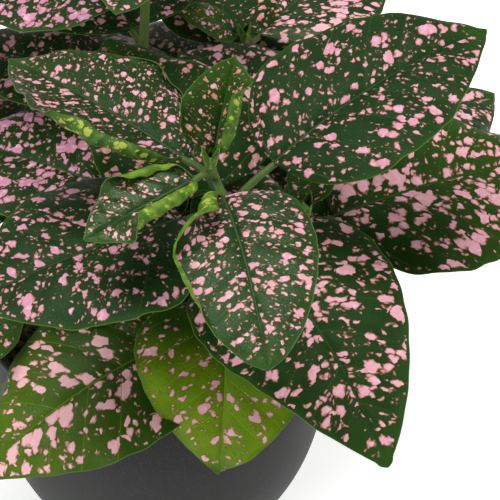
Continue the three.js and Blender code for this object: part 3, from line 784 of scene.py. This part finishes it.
# %% Spots
def spots(tree):
    """The share of pink at a point, how deep in a spot the point lies in millimetres, taking the deepest of
    three layers of cells, and where spots may be at all."""
    mark = lambda name, out: node(tree, "ShaderNodeSeparateXYZ", {0: node(
        tree, "ShaderNodeAttribute", {}, out="Vector", attribute_name=name)}, out=out)
    share, rib_distance, margin = (mark("blade", k) for k in range(3))
    cover, size = mark("look", 1), mark("look", 2)
    where = leaf_map(tree, "spots")
    stretch = node(tree, "ShaderNodeVectorMath", {0: where, 1: (1.0, 0.74, 1.0)}, operation="MULTIPLY")
    scaled = node(tree, "ShaderNodeVectorMath", {0: stretch, "Scale": calc(tree, "DIVIDE", 1.0, size)},
                  operation="SCALE")
    bend = noise(tree, scaled, 0.5, roughness=0.55, out=1, noise_dimensions="2D")
    centred = node(tree, "ShaderNodeVectorMath", {0: bend, 1: (0.5, 0.5, 0.5)}, operation="SUBTRACT")
    off = node(tree, "ShaderNodeVectorMath", {0: centred, "Scale": 2.1}, operation="SCALE")
    bent = node(tree, "ShaderNodeVectorMath", {0: scaled, 1: off}, operation="ADD")
    crowd = noise(tree, scaled, 0.16, 1.0, noise_dimensions="2D")
    reach = plus(tree, times(tree, minus(tree, cover, 0.3), 0.9),
                 node(tree, "ShaderNodeMapRange", {"Value": crowd, "From Min": 0.3, "From Max": 0.7,
                                                   "To Min": -0.1, "To Max": 0.1}))
    depth = None
    for scale, least, most, smooth in ((0.34, -0.4, 0.5, 0.5), (0.6, -0.5, 0.44, 0.4), (1.1, -1.3, 0.34, 0.2)):
        cell = node(tree, "ShaderNodeTexVoronoi", {"Vector": bent, "Scale": scale, "Smoothness": smooth}, out=0,
                    voronoi_dimensions="2D", feature="SMOOTH_F1")
        chance = node(tree, "ShaderNodeSeparateColor", {0: cell.node.outputs[1]}, out=0)
        radius = plus(tree, reach, node(tree, "ShaderNodeMapRange", {
            "Value": chance, "To Min": least, "To Max": most}))
        inside = minus(tree, radius, cell)
        deep = calc(tree, "DIVIDE", inside, scale)
        depth = deep if depth is None else calc(tree, "MAXIMUM", depth, deep)
    ragged = noise(tree, where, 0.7, 2.0, noise_dimensions="2D")
    clear = times(tree, step(tree, plus(tree, rib_distance, ragged), 0.9, 1.5),
                 step(tree, minus(tree, margin, times(tree, ragged, 2.4)), -0.2, 0.1))
    clear = times(tree, clear, step(tree, plus(tree, share, times(tree, ragged, 0.08)), 1.0, 0.95))
    pink = times(tree, step(tree, depth, -0.08, 0.26), clear)
    return pink, depth, clear, share, rib_distance, margin, mark


# %% Ribs
def rib_lines(tree, rib_distance, share, width):
    """The share of a rib at a point: side ribs where the rib map's first number is near a whole number and a
    half, and the midrib, which tapers to the tip."""
    ribs = node(tree, "ShaderNodeSeparateXYZ", {0: leaf_map(tree, "ribs")}, out=0)
    off = calc(tree, "ABSOLUTE", minus(tree, calc(tree, "FRACT", plus(tree, ribs, 20.0)), 0.5))
    side = times(tree, step(tree, off, 0.5 - width, 0.5), step(tree, share, 0.9, 0.7))
    main = step(tree, rib_distance, minus(tree, 0.56, times(tree, share, 0.42)), 0.1)
    return side, main


# %% Upper face
leaf_top, tree, shader = material("leaf_upper", IOR=1.45)
pink, depth, clear, share, rib_distance, margin, mark = spots(tree)
hue, pale, gloss = (mark("tint", k) for k in range(3))
# The lime fades towards the stalk: partly a young leaf's lime tip, partly painted shade on leaf bases under the
# leaves above.
lime = times(tree, mark("look", 0), step(tree, share, -0.5, 0.9))
where = leaf_map(tree, "spots")
patch = noise(tree, where, 0.12, 2.0, noise_dimensions="2D")
deep = blend(tree, patch, srgb(10, 31, 9), srgb(20, 46, 15))
mid = blend(tree, patch, srgb(28, 52, 5), srgb(42, 70, 10))
# bright: the yellow-green of lime leaves, their own colour and partly painted light shining through the thin
# leaf.
bright = blend(tree, patch, srgb(70, 96, 2), srgb(96, 124, 6))
green = blend(tree, step(tree, lime, 0.0, 0.5), deep, mid)
green = blend(tree, step(tree, lime, 0.5, 1.0), green, bright)
tip = times(tree, step(tree, share, 0.82, 1.0), 0.7)
edge = step(tree, margin, 3.0, 0.0)
green = blend(tree, calc(tree, "MAXIMUM", tip, times(tree, edge, 0.35)), green, srgb(36, 64, 10))
side_ribs, main_rib = rib_lines(tree, rib_distance, share, 0.035)
vein = blend(tree, step(tree, lime, 0.2, 0.8), srgb(48, 74, 34), srgb(112, 142, 22))
green = blend(tree, times(tree, side_ribs, 0.35), green, vein)
green = blend(tree, times(tree, main_rib, step(tree, share, 1.2, -0.3)), green, vein)
warm = blend(tree, step(tree, hue, 0.0, 0.5), srgb(164, 114, 90), srgb(182, 122, 140))
rose = blend(tree, step(tree, hue, 0.5, 1.0), warm, srgb(148, 88, 140))
speck = noise(tree, where, 0.5, 3.0, noise_dimensions="2D")
rose = blend(tree, step(tree, speck, 0.45, 0.75), rose, srgb(197, 148, 166))
rose = blend(tree, times(tree, pale, 0.6), rose, srgb(232, 182, 184))
edged = blend(tree, step(tree, depth, 0.5, 0.0), rose, srgb(158, 108, 98))
rim = times(tree, times(tree, step(tree, depth, -0.35, 0.1), clear), 0.45)
skin = blend(tree, times(tree, pink, 0.94), blend(tree, rim, green, srgb(52, 34, 14)), edged)
# Painted light: a thin pale green line on the edge and the rim stands for light shining through the thin
# margin.
feed(shader.inputs["Base Color"], blend(tree, step(tree, margin, 0.24, 0.0), skin, srgb(66, 92, 34)))
net = node(tree, "ShaderNodeTexVoronoi", {"Vector": where, "Scale": 0.8}, feature="DISTANCE_TO_EDGE",
           voronoi_dimensions="2D")
cells = noise(tree, where, 3.2, 2.0, noise_dimensions="2D")
relief = plus(tree, times(tree, step(tree, net, 0.0, 0.16), 0.6), times(tree, cells, 0.5))
relief = minus(tree, relief, times(tree, side_ribs, 1.4))
feed(shader.inputs["Specular IOR Level"], plus(tree, 0.1, times(tree, gloss, 0.3)))
shader.inputs["Specular Tint"].default_value = (0.7, 1, 0.62, 1)
feed(shader.inputs["Roughness"], minus(tree, plus(tree, 0.42, times(tree, cells, 0.16)),
                                          times(tree, gloss, 0.2)))
bump(tree, shader, 0.5, 0.00012, relief)

# %% [markdown]
# The lower face is paler and yellower, dull, with raised ribs. The spots show through it as faint yellow
# flecks, and it is seen where a young leaf's margin is still rolled.

# %% Lower face
leaf_under, tree, shader = material("leaf_lower", Roughness=0.55, IOR=1.42, Specular_IOR_Level=0.25)
pink, _, _, share, rib_distance, _, mark = spots(tree)
lift = calc(tree, "MAXIMUM", mark("look", 0), mark("tint", 2))
where = leaf_map(tree, "spots")
patch = noise(tree, where, 0.35, noise_dimensions="2D")
under = blend(tree, step(tree, patch, 0.35, 0.65), srgb(36, 58, 4), srgb(50, 84, 22))
bright = blend(tree, step(tree, patch, 0.3, 0.7), srgb(54, 84, 8), srgb(92, 122, 22))
under = blend(tree, step(tree, lift, 0.15, 0.6), under, bright)
under = blend(tree, times(tree, pink, 0.75), under, srgb(150, 158, 56))
side_ribs, main_rib = rib_lines(tree, rib_distance, share, 0.05)
under = blend(tree, calc(tree, "MAXIMUM", times(tree, side_ribs, 0.4), main_rib), under, srgb(96, 120, 50))
feed(shader.inputs["Base Color"], under)
cells = noise(tree, where, 2.4, 3.0, noise_dimensions="2D")
bump(tree, shader, 0.6, 0.00015, cells)

# %% [markdown]
# Stems are a lighter, yellowish green that browns towards the soil, streaked along their length, and they
# carry short whitish hairs.

# %% Stem and hair finish
stem_green, tree, shader = material("stem_green", Roughness=0.5, IOR=1.42, Specular_IOR_Level=0.25,
                                    Sheen_Weight=0.05)
place = object_place(tree)
height = node(tree, "ShaderNodeSeparateXYZ", {0: place}, out=2)
drawn_out = node(tree, "ShaderNodeVectorMath", {0: place, 1: (1.0, 1.0, 0.12)}, operation="MULTIPLY")
streak = noise(tree, drawn_out, 900.0)
blush = noise(tree, place, 70.0, 2.0)
fresh = blend(tree, streak, srgb(40, 60, 10), srgb(72, 94, 26))
old = blend(tree, streak, srgb(44, 46, 18), srgb(70, 64, 32))
aged = calc(tree, "MAXIMUM", step(tree, height, 0.162, 0.1), times(tree, step(tree, blush, 0.52, 0.68), 0.55))
feed(shader.inputs["Base Color"], blend(tree, aged, fresh, old))
bump(tree, shader, 0.4, 0.0001, streak)
hair_white, tree, shader = material("plant_hair", Roughness=0.6, Sheen_Weight=0.3)
place = object_place(tree)
tone = noise(tree, place, 400.0)
feed(shader.inputs["Base Color"], blend(tree, tone, srgb(86, 104, 50), srgb(136, 150, 100)))


# %% [markdown]
# ### Making the shoots
# The leaves of a shoot become one piece, and its stem with all the stalks another. Every leaf has its own
# number, which gives it its own slight roll, wave and spots. Two pairs of tiny folded leaves close
# the top of each stem as a bud.

# %% Leaves from the table
def scatter(seed):
    """A repeatable number from -1 to 1 for a seed."""
    value = math.sin(seed * 127.1) * 4375.85
    return 2 * (value - math.floor(value)) - 1


def leaf_of(row, line, seed, number):
    """A table row as a leaf: its joint on the stem's line, and the plain leaf's values where it has no own."""
    height, azimuth, petiole, length, width, rise, end, own = row
    start = np.array([np.interp(height, line[:, 2], line[:, k]) for k in range(3)])
    plain = {"swerve": 0, "roll": 6 * scatter(seed + 0.2), "base": 0.5, "tip": 0.9, "fold": 9, "bow": 22,
             "wave": 0.016 * width, "waves": 2, "phase": 3 * scatter(seed + 0.3), "curls": [], "look": "plain",
             "pucker": 0.007 * length, "stout": 0.85 + 0.004 * length}
    return {"start": start, "azimuth": azimuth, "petiole": petiole, "length": length, "width": width,
            "rise": rise, "end": end, "number": number, **plain, **own}


def bud_rows(axis, turn):
    """Two pairs of folded leaves just under the stem's tip, the inner pair shorter and crossing the outer."""
    top = axis[-1][2]
    folded = {"fold": 48, "bow": 20, "look": "fresh", "pucker": 0.1, "stout": 0.5}
    return [(top - 1.2, turn + spin, 0.6, size, 0.5 * size, 66, 84, folded)
            for spin, size in ((0, 8.5), (180, 7.5), (90, 5.5), (270, 5))]


# %% One piece from many
def joined(parts):
    """Parts one after another: their points stacked, and their face numbers moved on by the points before."""
    before = np.cumsum([0] + [len(part["points"]) for part in parts[:-1]])
    whole = {key: np.concatenate([part[key] for part in parts]) for key in parts[0] if key != "faces"}
    whole["faces"] = np.concatenate([np.where(part["faces"] >= 0, part["faces"] + n, -1)
                                     for part, n in zip(parts, before)])
    return whole


# %% Build every shoot
CLOSE_GRID, PLAIN_GRID = 1.0, 1.4
CLOSE_HAIRS, PLAIN_HAIRS = 1800, 500
leaf_number = 0
for order, (name, (axis, rows)) in enumerate(SHOOTS.items()):
    line = smooth_line(axis, 60)
    leaves = []
    for index, row in enumerate(rows + bud_rows(axis, 30 * order)):
        leaves.append(leaf_of(row, line, 100 * order + index, leaf_number))
        leaf_number += 1
    pitch = CLOSE_GRID if name in ("front", "low") else PLAIN_GRID
    blades = joined([blade(leaf, pitch) for leaf in leaves])
    piece(f"leaves_{name}", blades["points"], blades["faces"], [leaf_top, leaf_under],
          f"shoot_{name}", "foliage", blades["kind"], {key: blades[key] for key in ("spots", "ribs")},
          {key: blades[key] for key in ("blade", "look", "tint")})
    rods = [stem(axis, {row[0] for row in rows})] + [stalk(leaf) for leaf in leaves]
    rods = joined([{"points": p, "faces": f} for p, f in rods])
    piece(f"stem_{name}", rods["points"], rods["faces"], [stem_green], f"shoot_{name}", "foliage")
    hair_count = CLOSE_HAIRS if name == "front" else PLAIN_HAIRS
    piece(f"hairs_{name}", *hairs(rods["points"], rods["faces"], hair_count, order), [hair_white],
          f"shoot_{name}", "foliage")
